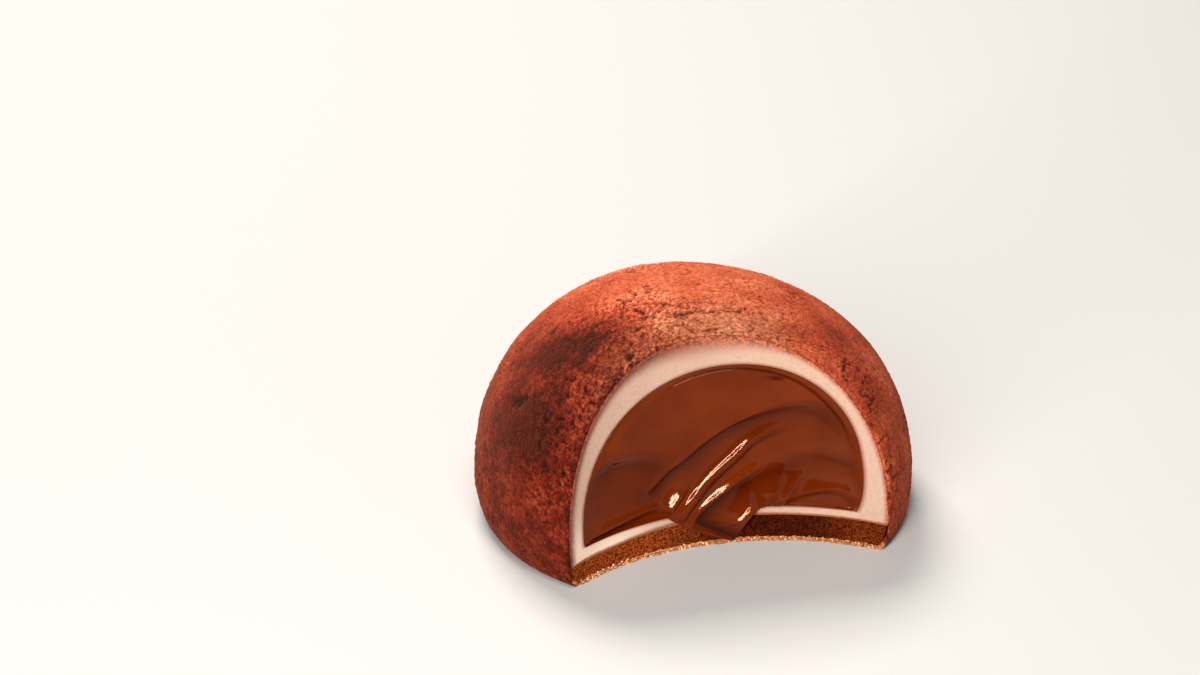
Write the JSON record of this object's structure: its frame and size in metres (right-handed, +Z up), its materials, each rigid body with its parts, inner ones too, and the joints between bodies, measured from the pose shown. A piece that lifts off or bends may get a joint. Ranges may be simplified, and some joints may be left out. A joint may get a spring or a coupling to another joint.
{
  "type": "mochi",
  "caption": "Cocoa-dusted mochi with a bite taken out, showing its pale rice dough, soft folded chocolate filling and thin cocoa base layer.",
  "frame": {"origin": "on the table under the ball's axis, on its flat underside", "axes": "+Z up from the table, -Y towards the bite, +X to the right of someone facing the bite"},
  "size_m": [0.0452, 0.0377, 0.0245],
  "materials": {
    "cocoa_dusted_dough": "dry powder over soft dough",
    "cream_dough": "soft and matte",
    "chocolate": "glossy and soft",
    "cocoa_layer": "fine dry crumb"
  },
  "bodies": {
    "root": {"rice_dough": "cocoa_dusted_dough", "cocoa_base": "cocoa_layer", "chocolate_filling": "chocolate"}
  },
  "joints": []
}
